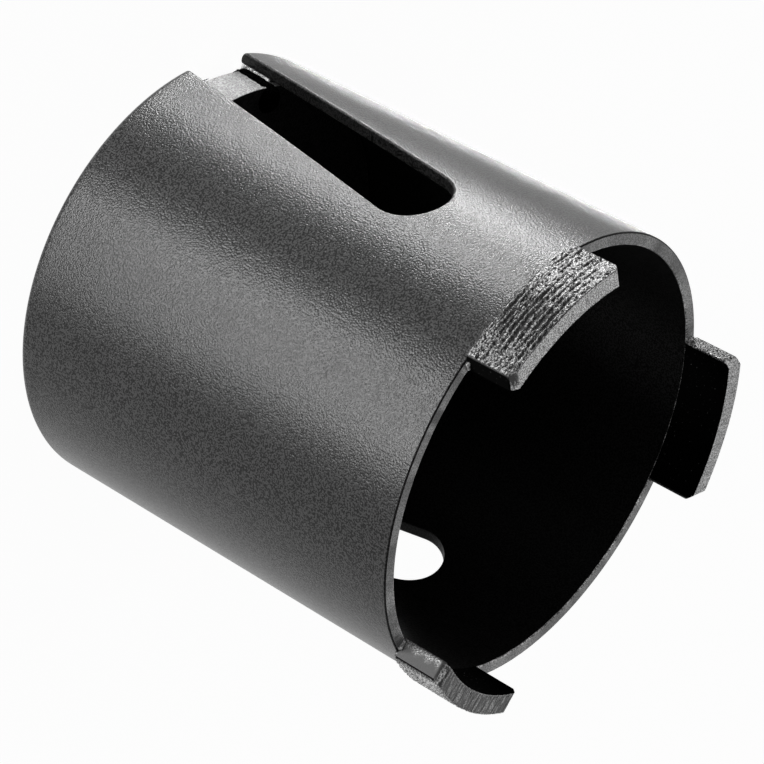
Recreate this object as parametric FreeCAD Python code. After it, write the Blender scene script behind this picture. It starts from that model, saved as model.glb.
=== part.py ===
import FreeCAD, Part
import math
import os

# Diamond core bit: a thin steel barrel with two leaning dust slots, a threaded base plate
# welded inside its back end, and three diamond segments welded onto its mouth.
# Millimetres and degrees. +Z is the tool axis, from the back rim (z = 0) to the cutting faces.

# Barrel
barrel_diameter = 66.6
barrel_wall = 1.86
barrel_length = 66.95
rim_break = 0.2
rear_edge_round = 1.2

# Dust slots, milled through the wall and open at the back
slot_count = 2
slot_width = 11.3
slot_reach = 48.3
slot_lean = 9.9
slot_edge_break = 0.3

# Base plate with its threaded boss, one turned piece
plate_thickness = 6.35
plate_recess = 1.95
plate_edge_break = 0.3
boss_diameter = 27.0
boss_height = 9.65
boss_root = 1.5
boss_edge_break = 1.0
thread_minor_diameter = 13.8
thread_major_diameter = 16.0

# Diamond segments
segment_count = 3
segment_phase = 78.7
outside_clearance = 1.0
inside_clearance = 0.28
segment_width = 22.3
segment_height = 7.45
segment_end_break = 0.6
cutting_edge_bevel = 0.8
cutting_edge_wear = 0.25
foot_height = 1.2
foot_stand_off = 0.3
rib_count = 8
rib_depth = 0.4
groove_share = 0.4

# Worked out from the sizes above
barrel_radius = barrel_diameter / 2
bore_radius = barrel_radius - barrel_wall
plate_top = plate_recess + plate_thickness
boss_top = plate_top + boss_height
cut_radius = barrel_radius + outside_clearance
segment_bore_radius = bore_radius - inside_clearance
segment_thickness = cut_radius - segment_bore_radius
tip = barrel_length + segment_height

AXIS = FreeCAD.Vector(0, 0, 1)
ORIGIN = FreeCAD.Vector(0, 0, 0)


def turned(profile):
    """A solid of revolution about the tool axis, from (radius, height) points."""
    points = [FreeCAD.Vector(radius, 0, height) for radius, height in profile]
    outline = Part.makePolygon(points + points[:1])
    return Part.Face(outline).revolve(ORIGIN, AXIS, 360)


def pattern(shape, count, first=0.0):
    """Copies of one shape, evenly spaced about the tool axis."""
    copies = []
    for index in range(count):
        copy = shape.copy()
        copy.rotate(ORIGIN, AXIS, first + index * 360 / count)
        copies.append(copy)
    return copies


def slot_outline(width, reach):
    """The slot's outline in the YZ plane: parallel sides and a full round end, open below."""
    radius = width / 2
    below = width
    end_centre = reach - radius
    corner = FreeCAD.Vector(0, -radius, -below)
    left = FreeCAD.Vector(0, -radius, end_centre)
    crown = FreeCAD.Vector(0, 0, reach)
    right = FreeCAD.Vector(0, radius, end_centre)
    far_corner = FreeCAD.Vector(0, radius, -below)
    edges = [
        Part.makeLine(corner, left),
        Part.Arc(left, crown, right).toShape(),
        Part.makeLine(right, far_corner),
        Part.makeLine(far_corner, corner),
    ]
    return Part.Face(Part.Wire(edges))


def slot_cutter():
    """A prism through one side of the barrel. It leans about the middle of the slot's length."""
    outline = slot_outline(slot_width, slot_reach)
    cutter = outline.extrude(FreeCAD.Vector(cut_radius, 0, 0))
    middle = FreeCAD.Vector(0, 0, slot_reach / 2)
    cutter.rotate(middle, FreeCAD.Vector(1, 0, 0), -slot_lean)
    return cutter


def make_barrel():
    """The drawn tube with broken rims, a rounded rear edge and its dust slots."""
    round_middle = rear_edge_round * (1 - math.cos(math.pi / 4))
    tube = turned([
        (bore_radius, rim_break),
        (bore_radius + rim_break, 0),
        (barrel_radius - rear_edge_round, 0),
        (barrel_radius - round_middle, round_middle),
        (barrel_radius, rear_edge_round),
        (barrel_radius, barrel_length - rim_break),
        (barrel_radius - rim_break, barrel_length),
        (bore_radius + rim_break, barrel_length),
        (bore_radius, barrel_length - rim_break),
    ])
    tube = tube.cut(pattern(slot_cutter(), slot_count))
    tube = tube.makeFillet(slot_edge_break, slot_edges(tube, barrel_radius))
    return tube.makeChamfer(slot_edge_break, slot_edges(tube, bore_radius))


def slot_edges(tube, radius):
    """Where the slots' walls meet the tube's face of one radius: neither rims nor seams."""
    edges = []
    for edge in tube.Edges:
        if isinstance(edge.Curve, (Part.Circle, Part.Line)):
            continue
        ends = [math.hypot(vertex.X, vertex.Y) for vertex in edge.Vertexes]
        if all(math.isclose(end, radius, abs_tol=1e-4) for end in ends):
            edges.append(edge)
    return edges


def make_base_plate():
    """The plate that fills the barrel's back end, sloping up at the root of its threaded boss."""
    thread_radius = thread_minor_diameter / 2
    lead_in = (thread_major_diameter - thread_minor_diameter) / 2
    boss_radius = boss_diameter / 2
    return turned([
        (thread_radius, plate_recess + lead_in),
        (thread_radius + lead_in, plate_recess),
        (bore_radius - plate_edge_break, plate_recess),
        (bore_radius, plate_recess + plate_edge_break),
        (bore_radius, plate_top),
        (boss_radius + boss_root, plate_top),
        (boss_radius, plate_top + boss_root),
        (boss_radius, boss_top - boss_edge_break),
        (boss_radius - boss_edge_break, boss_top),
        (thread_radius + lead_in, boss_top),
        (thread_radius, boss_top - lead_in),
    ])


def segment_plan():
    """The segment seen from the mouth: two arcs, parallel ends and broken corners."""
    half = segment_width / 2
    ends = half - segment_end_break

    def on_arc(radius, across):
        return FreeCAD.Vector(math.sqrt(radius ** 2 - across ** 2), across, 0)

    outer_near = on_arc(cut_radius, -ends)
    outer_far = on_arc(cut_radius, ends)
    inner_near = on_arc(segment_bore_radius, -ends)
    inner_far = on_arc(segment_bore_radius, ends)
    side_break = FreeCAD.Vector(segment_end_break, 0, 0)
    end_step = FreeCAD.Vector(0, segment_end_break, 0)
    outer_near_end = outer_near - side_break - end_step
    outer_far_end = outer_far - side_break + end_step
    inner_near_end = inner_near + side_break - end_step
    inner_far_end = inner_far + side_break + end_step
    edges = [
        Part.Arc(outer_near, FreeCAD.Vector(cut_radius, 0, 0), outer_far).toShape(),
        Part.makeLine(outer_far, outer_far_end),
        Part.makeLine(outer_far_end, inner_far_end),
        Part.makeLine(inner_far_end, inner_far),
        Part.Arc(inner_far, FreeCAD.Vector(segment_bore_radius, 0, 0), inner_near).toShape(),
        Part.makeLine(inner_near, inner_near_end),
        Part.makeLine(inner_near_end, outer_near_end),
        Part.makeLine(outer_near_end, outer_near),
    ]
    return Part.Face(Part.Wire(edges))


def rib_grooves():
    """Rings that cut the grooves between the ribs, with sloping sides."""
    pitch = (segment_height - foot_height) / rib_count
    floor_radius = cut_radius - rib_depth
    outside = cut_radius + rib_depth
    mouth = pitch * groove_share
    slope = mouth / 4
    rings = []
    for index in range(rib_count):
        low = barrel_length + foot_height + index * pitch
        high = low + mouth
        rings.append(turned([
            (floor_radius, low + slope),
            (outside, low - slope),
            (outside, high + slope),
            (floor_radius, high - slope),
        ]))
    return rings


def foot_relief():
    """A ring that brings the segment's foot in towards the barrel, where the weld is dressed."""
    return turned([
        (barrel_radius + foot_stand_off, barrel_length),
        (cut_radius + rib_depth, barrel_length),
        (cut_radius + rib_depth, barrel_length + foot_height),
        (barrel_radius + foot_stand_off, barrel_length + foot_height),
    ])


def cutting_edge_ring():
    """The ring worn away from the segments' outer cutting edge."""
    return turned([
        (cut_radius - cutting_edge_wear, tip),
        (cut_radius + cutting_edge_wear, tip - 2 * cutting_edge_wear),
        (cut_radius + cutting_edge_wear, tip),
    ])


def end_bevel():
    """A wedge over the cutting face's end edge."""
    half = segment_width / 2
    inside = segment_bore_radius - segment_thickness
    outside = cut_radius + segment_thickness
    points = [
        FreeCAD.Vector(inside, half, tip - cutting_edge_bevel),
        FreeCAD.Vector(inside, half, tip + cutting_edge_bevel),
        FreeCAD.Vector(inside, half - 2 * cutting_edge_bevel, tip + cutting_edge_bevel),
    ]
    wedge = Part.Face(Part.makePolygon(points + points[:1]))
    return wedge.extrude(FreeCAD.Vector(outside - inside, 0, 0))


def make_segment():
    """One diamond segment, standing on the barrel's rim at angle zero."""
    block = segment_plan()
    block.translate(FreeCAD.Vector(0, 0, barrel_length))
    block = block.extrude(FreeCAD.Vector(0, 0, segment_height))
    bevel = end_bevel()
    other_bevel = bevel.mirror(ORIGIN, FreeCAD.Vector(0, 1, 0))
    return block.cut(rib_grooves() + [foot_relief(), cutting_edge_ring(), bevel, other_bevel])


def main():
    """Build every piece and write one STEP file for each."""
    os.makedirs("parts", exist_ok=True)
    pieces = {"barrel": make_barrel(), "base_plate": make_base_plate()}
    segments = pattern(make_segment(), segment_count, segment_phase)
    for number, segment in enumerate(segments, start=1):
        pieces[f"segment_{number}"] = segment
    for name, piece in pieces.items():
        solid = piece.removeSplitter().Solids[0]
        solid.exportStep(f"parts/{name}.step")


main()
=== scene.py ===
"""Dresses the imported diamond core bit: coated barrel, threaded base plate, welds and sintered segments."""

import logging
import math
from collections.abc import Callable
from dataclasses import dataclass, field
from enum import Enum, IntEnum

import bmesh
import bpy
import numpy as np
from mathutils import Matrix, Vector, noise

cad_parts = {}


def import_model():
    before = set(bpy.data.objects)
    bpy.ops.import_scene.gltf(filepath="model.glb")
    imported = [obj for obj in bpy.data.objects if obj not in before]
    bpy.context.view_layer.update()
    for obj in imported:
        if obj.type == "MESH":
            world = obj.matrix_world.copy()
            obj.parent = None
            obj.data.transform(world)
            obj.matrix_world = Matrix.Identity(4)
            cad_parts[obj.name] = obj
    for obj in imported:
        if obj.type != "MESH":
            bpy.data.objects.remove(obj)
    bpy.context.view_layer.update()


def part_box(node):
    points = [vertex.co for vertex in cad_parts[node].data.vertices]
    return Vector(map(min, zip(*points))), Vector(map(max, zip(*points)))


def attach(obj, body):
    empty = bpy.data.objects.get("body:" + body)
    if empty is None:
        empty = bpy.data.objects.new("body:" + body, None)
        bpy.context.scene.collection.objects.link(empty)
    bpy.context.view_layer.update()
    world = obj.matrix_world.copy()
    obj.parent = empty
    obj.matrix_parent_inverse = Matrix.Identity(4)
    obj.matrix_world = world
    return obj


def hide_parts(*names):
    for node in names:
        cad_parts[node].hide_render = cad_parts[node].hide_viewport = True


log = logging.getLogger("core_bit")

MM = 0.001
SEW_GAP = 0.0004 * MM
QUARTER = math.pi / 2
TURN = 2 * math.pi
HALF_TURN = np.array([-1.0, -1.0, 1.0])
WHITE = (1, 1, 1, 1)
BODY = "root"
WEAR = "wear"

Numbers = float | np.ndarray
Radii = Callable[[np.ndarray], np.ndarray]


class Slot(Enum):
    """The record's material slots."""

    BARREL = "barrel_coat"
    PLATE = "plate_coat"
    SEGMENT = "segment_sinter"


class TubeFace(IntEnum):
    """Places of the finishes in the tube's list."""

    OUTSIDE = 0
    BORE = 1
    MOUTH = 2
    WORN_EDGE = 3


class PlateFace(IntEnum):
    """Places of the finishes in the base plate's list."""

    BACK = 0
    FRONT = 1
    RIM = 2


class SegmentFace(IntEnum):
    """Places of the finishes in a segment's list."""

    OUTER = 0
    CUTTING = 1
    SMOOTH_END = 2
    DARK_END = 3


class Skin:
    """Grids of points that are sewn into one mesh where their borders meet."""

    def __init__(self) -> None:
        """Starts with no grids."""
        self._points: list[np.ndarray] = []
        self._quads: list[np.ndarray] = []
        self._finish: list[np.ndarray] = []
        self._wear: list[np.ndarray] = []
        self._count = 0

    def add(self, grid: np.ndarray, finish: int | np.ndarray = 0, wear: Numbers = 0.0) -> None:
        """Adds one grid of quads.

        Args:
            grid: Points in metres, rows by columns by three.
            finish: Place of the finish in the object's list, for all quads or for each.
            wear: How bare the metal is, 0 to 1, for all points or for each.
        """
        rows, columns, _ = grid.shape
        index = np.arange(rows * columns).reshape(rows, columns) + self._count
        quads = (index[:-1, :-1], index[:-1, 1:], index[1:, 1:], index[1:, :-1])
        self._quads.append(np.stack(quads, axis=-1).reshape(-1, 4))
        self._finish.append(np.broadcast_to(finish, (rows - 1, columns - 1)).reshape(-1))
        self._wear.append(np.broadcast_to(wear, (rows, columns)).reshape(-1))
        self._points.append(grid.reshape(-1, 3))
        self._count += rows * columns

    def sew(self, name: str, *finishes: bpy.types.Material) -> bpy.types.Object:
        """Joins the grids into one smooth object, with a sharp edge where two finishes meet.

        Args:
            name: The object's name.
            finishes: The object's materials, in the order that the grids count them.

        Returns:
            The new object, linked to the scene.
        """
        mesh = bpy.data.meshes.new(name)
        mesh.from_pydata(np.vstack(self._points).tolist(), [], np.vstack(self._quads).tolist())
        mesh.polygons.foreach_set("material_index", np.concatenate(self._finish).astype(np.int32))
        worn = mesh.attributes.new(WEAR, "FLOAT", "POINT")
        worn.data.foreach_set("value", np.concatenate(self._wear).astype(np.float32))
        for finish in finishes:
            mesh.materials.append(finish)
        work = bmesh.new()
        work.from_mesh(mesh)
        bmesh.ops.remove_doubles(work, verts=work.verts, dist=SEW_GAP)
        bmesh.ops.dissolve_degenerate(work, edges=work.edges, dist=SEW_GAP)
        bmesh.ops.recalc_face_normals(work, faces=work.faces)
        for edge in work.edges:
            edge.smooth = len({face.material_index for face in edge.link_faces}) == 1
        work.to_mesh(mesh)
        work.free()
        mesh.shade_smooth()
        made = bpy.data.objects.new(name, mesh)
        bpy.context.scene.collection.objects.link(made)
        return made


def steps(start: float, end: float, count: int) -> np.ndarray:
    """The ends of equal steps from one value to another."""
    return np.linspace(start, end, count + 1)[1:]


def run_along(path: np.ndarray) -> np.ndarray:
    """Distance along a path at each of its points."""
    lengths = np.linalg.norm(np.diff(path, axis=0), axis=1)
    return np.concatenate([[0], np.cumsum(lengths)])


def noises(across: Numbers, along: Numbers, seed: float) -> np.ndarray:
    """Smooth noise at each pair of coordinates.

    Args:
        across: First coordinates, in grains.
        along: Second coordinates, in grains.
        seed: Where the noise is read.

    Returns:
        Values from about -1 to 1.
    """
    across, along = np.broadcast_arrays(across, along)
    values = [noise.noise(Vector((x, y, seed))) for x, y in zip(across.ravel(), along.ravel())]
    return np.array(values).reshape(across.shape)


@dataclass(frozen=True)
class Waves:
    """Smooth noise of one strength and fineness over a face."""

    strength: float
    across: float
    along: float
    seed: float

    def at(self, across: Numbers, along: Numbers, shift: tuple[float, float] = (0.0, 0.0),
           copy: float = 1.0) -> np.ndarray:
        """The noise at each place on the face.

        Args:
            across: Distances to the side, in millimetres.
            along: Distances the other way, in millimetres or rows.
            shift: How far the noise is moved to the side and the other way.
            copy: Chooses another noise of the same kind.

        Returns:
            Values from about minus to plus the strength.
        """
        first = across * self.across + shift[0]
        second = along * self.along + shift[1]
        return self.strength * noises(first, second, self.seed * copy)


def polar(radius: Numbers, angle: Numbers, height: Numbers) -> np.ndarray:
    """Points from cylinder coordinates about the tool axis.

    Args:
        radius: Distances from the axis.
        angle: Angles from +X.
        height: Heights along +Z.

    Returns:
        The points, with one more dimension than the inputs.
    """
    radius, angle, height = np.broadcast_arrays(radius, angle, height)
    return np.stack([radius * np.cos(angle), radius * np.sin(angle), height], axis=-1)


def soften(line: list[tuple[float, float, float]], runs: int) -> np.ndarray:
    """An open line through corners, each rounded by its own radius.

    Args:
        line: Radius, height and rounding of each corner, in metres.
        runs: Short runs in each rounded corner.

    Returns:
        The line's points, as rows of radius and height.
    """
    points = [np.array(line[0][:2])]
    for before, here, after in zip(line, line[1:], line[2:]):
        corner = np.array(here[:2])
        back = np.array(before[:2]) - corner
        ahead = np.array(after[:2]) - corner
        back /= np.linalg.norm(back)
        ahead /= np.linalg.norm(ahead)
        half = math.acos(float(np.clip(back @ ahead, -1, 1))) / 2
        reach = here[2] / math.tan(half)
        for share in np.linspace(0, 1, runs + 1):
            start = corner + back * reach * (1 - share)
            points.append(start + (corner + ahead * reach * share - start) * share)
    points.append(np.array(line[-1][:2]))
    return np.array(points)


def even_normals(piece: bpy.types.Object) -> None:
    """Lets a piece's flat faces shade flat and its rounds smooth."""
    weighted = piece.modifiers.new("even_normals", "WEIGHTED_NORMAL")
    weighted.keep_sharp = True


def ride_root(piece: bpy.types.Object, slot: Slot, *nodes: str) -> None:
    """Seats a piece on the part's one body, hides the CAD nodes that it stands for and logs its face count.

    Args:
        piece: The new piece.
        slot: Not used.
        nodes: The CAD nodes that it stands for.
    """
    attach(piece, BODY)
    if nodes:
        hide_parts(*nodes)
    log.info("%s: %d faces", piece.name, len(piece.data.polygons))


class NodeSheet:
    """A material's node tree, with short calls for what the finishes need."""

    def __init__(self, name: str) -> None:
        """Starts a material with only a Principled shader and its output.

        Args:
            name: The material's name.
        """
        self.material = bpy.data.materials.new(name)
        self.material.use_nodes = True
        self.tree = self.material.node_tree
        self.shader = self.tree.nodes["Principled BSDF"]
        self.place = self.tree.nodes.new("ShaderNodeTexCoord").outputs["Object"]

    def link(self, source: bpy.types.NodeSocket, target: bpy.types.NodeSocket) -> None:
        """Links one socket to another."""
        self.tree.links.new(source, target)

    def grain(self, size: float, detail: float = 0.0, roughness: float = 0.5) -> bpy.types.NodeSocket:
        """Noise of one grain size.

        Args:
            size: Width of a grain in metres.
            detail: Finer octaves.
            roughness: Strength of the finer octaves.

        Returns:
            The noise's value.
        """
        made = self.tree.nodes.new("ShaderNodeTexNoise")
        made.inputs["Scale"].default_value = 1 / size
        made.inputs["Detail"].default_value = detail
        made.inputs["Roughness"].default_value = roughness
        self.link(self.place, made.inputs["Vector"])
        return made.outputs["Fac"]

    def ramp(self, source: bpy.types.NodeSocket, low: float, high: float,
             end: float = 1.0) -> bpy.types.NodeSocket:
        """Maps a value's range onto the range from 0 to another end, clamped.

        Args:
            source: The value.
            low: What becomes 0.
            high: What becomes the end.
            end: The largest result.

        Returns:
            The mapped value.
        """
        made = self.tree.nodes.new("ShaderNodeMapRange")
        made.inputs["From Min"].default_value = low
        made.inputs["From Max"].default_value = high
        made.inputs["To Max"].default_value = end
        self.link(source, made.inputs["Value"])
        return made.outputs["Result"]

    def blend(self, share: bpy.types.NodeSocket, dark: float,
              light: float | bpy.types.NodeSocket) -> bpy.types.NodeSocket:
        """A colour between a dark grey and a light colour.

        Args:
            share: 0 for the dark one, 1 for the light one.
            dark: The dark grey's level.
            light: The light grey's level, or another colour's socket.

        Returns:
            The colour.
        """
        made = self.tree.nodes.new("ShaderNodeMix")
        made.data_type = "RGBA"
        sockets = {socket.identifier: socket for socket in made.inputs}
        self.link(share, sockets["Factor_Float"])
        sockets["A_Color"].default_value = (dark, dark, dark, 1)
        if isinstance(light, float):
            sockets["B_Color"].default_value = (light, light, light, 1)
        else:
            self.link(light, sockets["B_Color"])
        return next(socket for socket in made.outputs if socket.identifier == "Result_Color")

    def worn(self) -> bpy.types.NodeSocket:
        """How bare the metal is, from the mesh.

        Returns:
            The mesh's own value, 0 to 1.
        """
        made = self.tree.nodes.new("ShaderNodeAttribute")
        made.attribute_name = WEAR
        return made.outputs["Fac"]

    def gloss(self, roughness: float, specular: float) -> None:
        """Sets how the surface shines."""
        self.shader.inputs["Roughness"].default_value = roughness
        self.shader.inputs["Specular IOR Level"].default_value = specular

    def bump(self, height: bpy.types.NodeSocket, depth: float) -> None:
        """Bumps the surface.

        Args:
            height: The relief, about 0 to 1.
            depth: What 1 stands for, in metres.
        """
        made = self.tree.nodes.new("ShaderNodeBump")
        made.inputs["Strength"].default_value = 1.0
        made.inputs["Distance"].default_value = depth
        self.link(height, made.inputs["Height"])
        self.link(made.outputs["Normal"], self.shader.inputs["Normal"])


@dataclass(frozen=True)
class PowderCoat:
    """Dark powder coat: a fine leathery grain with dark creases and lighter crests."""

    name: str
    crease: float = 0.0
    crest: float = 0.036
    crest_edge: float = 0.08
    roughness: float = 0.3
    specular: float = 0.25
    grain_size: float = 0.24 * MM
    grain_depth: float = 0.045 * MM

    def make(self) -> bpy.types.Material:
        """Builds the finish's material.

        Returns:
            The material.
        """
        sheet = NodeSheet(self.name)
        grain = sheet.grain(self.grain_size)
        crest = sheet.ramp(grain, 0.5 - self.crest_edge, 0.5 + self.crest_edge)
        sheet.link(sheet.blend(crest, self.crease, self.crest), sheet.shader.inputs["Base Color"])
        sheet.gloss(self.roughness, self.specular)
        sheet.bump(grain, self.grain_depth)
        return sheet.material


@dataclass(frozen=True)
class GrittyMetal:
    """Bare metal with grit in it, which soot covers where the mesh says that it isn't worn."""

    name: str
    soot: float = 0.006
    dark: float = 0.08
    light: float = 0.6
    metallic: float = 0.5
    roughness: float = 0.45
    specular: float = 0.3
    grit_size: float = 0.2 * MM
    grit_depth: float = 0.04 * MM
    grit_low: float = 0.41
    grit_high: float = 0.61

    def make(self) -> bpy.types.Material:
        """Builds the finish's material.

        Returns:
            The material.
        """
        sheet = NodeSheet(self.name)
        grit = sheet.grain(self.grit_size, detail=1.0, roughness=0.6)
        tone = sheet.ramp(grit, self.grit_low, self.grit_high)
        worn = sheet.worn()
        metal = sheet.blend(tone, self.dark, self.light)
        sheet.link(sheet.blend(worn, self.soot, metal), sheet.shader.inputs["Base Color"])
        sheet.link(sheet.ramp(worn, 0, 1, self.metallic), sheet.shader.inputs["Metallic"])
        sheet.gloss(self.roughness, self.specular)
        sheet.bump(grit, self.grit_depth)
        return sheet.material


class Finishes:
    """The part's finishes, one material for each."""

    def __init__(self) -> None:
        """Makes them all."""
        self.coat = PowderCoat("powder_coat").make()
        # The same coat, painted darker and with less shine: painted shade on the bore, the slot walls and the
        # plate's front face. The mouth's outer edge takes it too.
        self.bore = PowderCoat("bore_coat", crest=0.012, roughness=0.45, specular=0.06).make()
        # A near-black coat with no shine, for the band of painted shade beside the plate's strip beads.
        self.shade_band = PowderCoat("weld_slag", crest=0.002, roughness=0.6, specular=0.0).make()
        self.rim = GrittyMetal("mouth_rim", soot=0.02, dark=0.2, light=0.5, metallic=0.35,
                               grit_depth=0.02 * MM).make()
        self.weld = GrittyMetal("weld_metal", dark=0.04, light=0.2, metallic=0.2,
                                grit_size=0.25 * MM).make()
        self.bead = GrittyMetal("weld_bead", dark=0.15, light=0.7).make()
        self.edge = GrittyMetal("worn_edge", dark=0.1, light=0.8, metallic=0.6).make()
        self.ribs = GrittyMetal("sintered_ribs", dark=0.01, light=0.36, metallic=0.3).make()
        self.ground = GrittyMetal("ground_face", dark=0.15, light=0.95, roughness=0.35).make()
        self.smooth_end = GrittyMetal("smooth_end", soot=0.05, light=0.4, roughness=0.35,
                                      specular=0.15, grit_depth=0.015 * MM).make()
        self.dark_end = GrittyMetal("dark_end", soot=0.003, specular=0.0).make()


@dataclass
class DustSlot:
    """A dust slot's outline in the plane across its own axis: y to the side, z along the tool."""

    width: float = 11.3 * MM
    reach: float = 48.3 * MM
    lean: float = math.radians(9.9)
    climb_steps: int = 36
    crown_steps: int = 18

    def __post_init__(self) -> None:
        """Works out the lean's sine and cosine."""
        self.sine, self.cosine = math.sin(self.lean), math.cos(self.lean)

    def end_centre(self) -> tuple[float, float]:
        """The centre of the slot's round end."""
        along = self.reach / 2 - self.width / 2
        return along * self.sine, self.reach / 2 + along * self.cosine

    def crown_side(self) -> float:
        """How far to the side the outline's furthest point lies."""
        return self.end_centre()[0] + self.width / 2 * self.sine

    def straight_side(self, hand: int, offset: float, height: Numbers) -> Numbers:
        """How far to the side a straight edge lies at each height.

        Args:
            hand: +1 for the side at larger angles, -1 for the other.
            offset: How far the outline is grown.
            height: Heights above the back rim.

        Returns:
            Distances to the side.
        """
        half = self.width / 2 + offset
        along = (height - self.reach / 2 + hand * self.sine * half) / self.cosine
        return self.sine * along + hand * self.cosine * half

    def outline(self, hand: int, offset: float, rear: np.ndarray) -> tuple[np.ndarray, np.ndarray]:
        """One side of the outline, from the back rim up to the crown.

        Args:
            hand: +1 for the side at larger angles, -1 for the other.
            offset: How far the outline is grown.
            rear: Heights of the rows near the back rim.

        Returns:
            The side and height of each point.
        """
        half = self.width / 2 + offset
        centre_y, centre_z = self.end_centre()
        tangent = centre_z - hand * self.sine * half
        heights = np.concatenate([rear, steps(rear[-1], tangent, self.climb_steps)])
        turns = steps(0, QUARTER, self.crown_steps)
        across = hand * half * np.cos(turns)
        ahead = half * np.sin(turns)
        arc_y = centre_y + across * self.cosine + ahead * self.sine
        arc_z = centre_z - across * self.sine + ahead * self.cosine
        sides = np.concatenate([self.straight_side(hand, offset, heights), arc_y])
        return sides, np.concatenate([heights, arc_z])

    def frame(self, hand: int, rear: np.ndarray, side_angle: float, crown_angle: float,
              top: float) -> tuple[np.ndarray, np.ndarray]:
        """The border of the patch round the slot, point for point with the outline.

        Args:
            hand: +1 for the side at larger angles, -1 for the other.
            rear: Heights of the rows near the back rim.
            side_angle: Half the angle that the patch takes up.
            crown_angle: Where the two halves of the patch meet.
            top: Height of the patch's upper border.

        Returns:
            The angle and height of each point.
        """
        _, centre_z = self.end_centre()
        climb = steps(rear[-1], centre_z, self.climb_steps)
        up = self.crown_steps // 2
        rise = steps(centre_z, top, up)
        over = steps(hand * side_angle, crown_angle, self.crown_steps - up)
        heights = np.concatenate([rear, climb, rise, np.full(len(over), top)])
        angles = np.concatenate([np.full(len(heights) - len(over), hand * side_angle), over])
        return angles, heights


@dataclass
class Barrel:
    """The drawn tube with its two dust slots."""

    radius: float
    length: float
    wall: float = 1.86 * MM
    rim_break: float = 0.2 * MM
    rear_round: float = 1.2 * MM
    slot_round: float = 0.3 * MM
    bore_break: float = 0.12 * MM
    patch_angle: float = math.radians(27)
    patch_top: float = 55 * MM
    sheet_steps: int = 11
    sheet_crowding: float = 1.5
    rear_steps: int = 6
    round_steps: int = 4
    wall_steps: int = 4
    break_steps: int = 3
    mouth_steps: int = 4
    column: float = 1.1 * MM
    row: float = 1.2 * MM
    mouth_wear: float = 0.75
    mouth_wear_spread: float = 0.8
    mouth_wear_size: float = 0.35 * MM
    seed: float = 8.0

    def __post_init__(self) -> None:
        """Sets out what the patches share."""
        self.slot = DustSlot()
        self.bore = self.radius - self.wall
        self.rear = self.rear_round * (1 - np.cos(np.linspace(0, QUARTER, self.rear_steps + 1)))
        self.crown_angle = math.asin(self.slot.crown_side() / self.radius)

    def outside(self, height: np.ndarray) -> np.ndarray:
        """The outer radius at each height, with the rounded back edge."""
        drop = np.clip(self.rear_round - height, 0, self.rear_round)
        return self.radius - self.rear_round + np.sqrt(self.rear_round ** 2 - drop ** 2)

    def inside(self, height: np.ndarray) -> np.ndarray:
        """The bore's radius at each height, with its broken back edge."""
        drop = np.clip(self.rim_break - height, 0, self.rim_break)
        return self.bore + self.rim_break - np.sqrt(self.rim_break ** 2 - drop ** 2)

    def wall_radius(self, height: np.ndarray, share: float) -> np.ndarray:
        """Radius at a share of the way through the slot's wall.

        Args:
            height: Heights above the back rim.
            share: 0 below the rounded outer edge, 1 at the broken inner one.

        Returns:
            The radius at each height.
        """
        start = self.outside(height) - self.slot_round
        end = self.inside(height) + self.bore_break
        return start + (end - start) * share

    def border(self, hand: int) -> tuple[np.ndarray, np.ndarray]:
        """Angles and heights of the border of one half of a slot's patch."""
        return self.slot.frame(hand, self.rear, self.patch_angle, self.crown_angle, self.patch_top)

    def sheet(self, hand: int, offset: float, radii: Radii) -> list[np.ndarray]:
        """The patch's columns on one face of the tube, from its border to the slot.

        Args:
            hand: +1 for the side at larger angles, -1 for the other.
            offset: How far the slot's outline is grown there.
            radii: Gives the face's radius at each height.

        Returns:
            The points of each column.
        """
        angles, heights = self.border(hand)
        side, height = self.slot.outline(hand, offset, self.rear)
        edge = np.arcsin(side / radii(height))
        columns = []
        for share in 1 - (1 - np.linspace(0, 1, self.sheet_steps + 1)) ** self.sheet_crowding:
            level = heights + (height - heights) * share
            columns.append(polar(radii(level), angles + (edge - angles) * share, level))
        return columns

    def edge_column(self, hand: int, offset: float, radii: Radii) -> np.ndarray:
        """One column along the slot's grown outline, at the radius that each height has.

        Args:
            hand: +1 for the side at larger angles, -1 for the other.
            offset: How far the slot's outline is grown there.
            radii: Gives the column's radius at each height.

        Returns:
            The column's points.
        """
        side, height = self.slot.outline(hand, offset, self.rear)
        radius = radii(height)
        return np.stack([np.sqrt(radius ** 2 - side ** 2), side, height], axis=-1)

    def slot_patch(self, hand: int) -> np.ndarray:
        """One half of the sheet round a slot: outside, over the slot's edge, through the wall, inside.

        Args:
            hand: +1 for the side at larger angles, -1 for the other.

        Returns:
            Points, from the back rim to the crown by from the outside to the inside.
        """
        columns = self.sheet(hand, self.slot_round, self.outside)
        for turn in steps(0, QUARTER, self.round_steps):
            depth = self.slot_round * (1 - math.cos(turn))
            growth = self.slot_round * (1 - math.sin(turn))
            columns.append(self.edge_column(hand, growth, lambda z: self.outside(z) - depth))
        for share in steps(0, 1, self.wall_steps):
            columns.append(self.edge_column(hand, 0, lambda z: self.wall_radius(z, share)))
        for turn in steps(QUARTER, 0, self.round_steps - 1):
            rise = self.bore_break * (1 - math.cos(turn))
            growth = self.bore_break * (1 - math.sin(turn))
            columns.append(self.edge_column(hand, growth, lambda z: self.inside(z) + rise))
        columns += self.sheet(hand, self.bore_break, self.inside)[::-1][1:]
        return np.stack(columns, axis=1)

    def patch_finish(self, patch: np.ndarray) -> np.ndarray:
        """The finish of each column of the patch's quads: outside up to the slot's wall, then the bore's."""
        in_bore = np.arange(patch.shape[1] - 1) >= self.sheet_steps + self.round_steps
        return np.where(in_bore, TubeFace.BORE, TubeFace.OUTSIDE)

    def wall_path(self, patch: np.ndarray) -> np.ndarray:
        """The back end of a slot's wall, from the outside to the inside."""
        return patch[0, self.sheet_steps:patch.shape[1] - self.sheet_steps]

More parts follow.
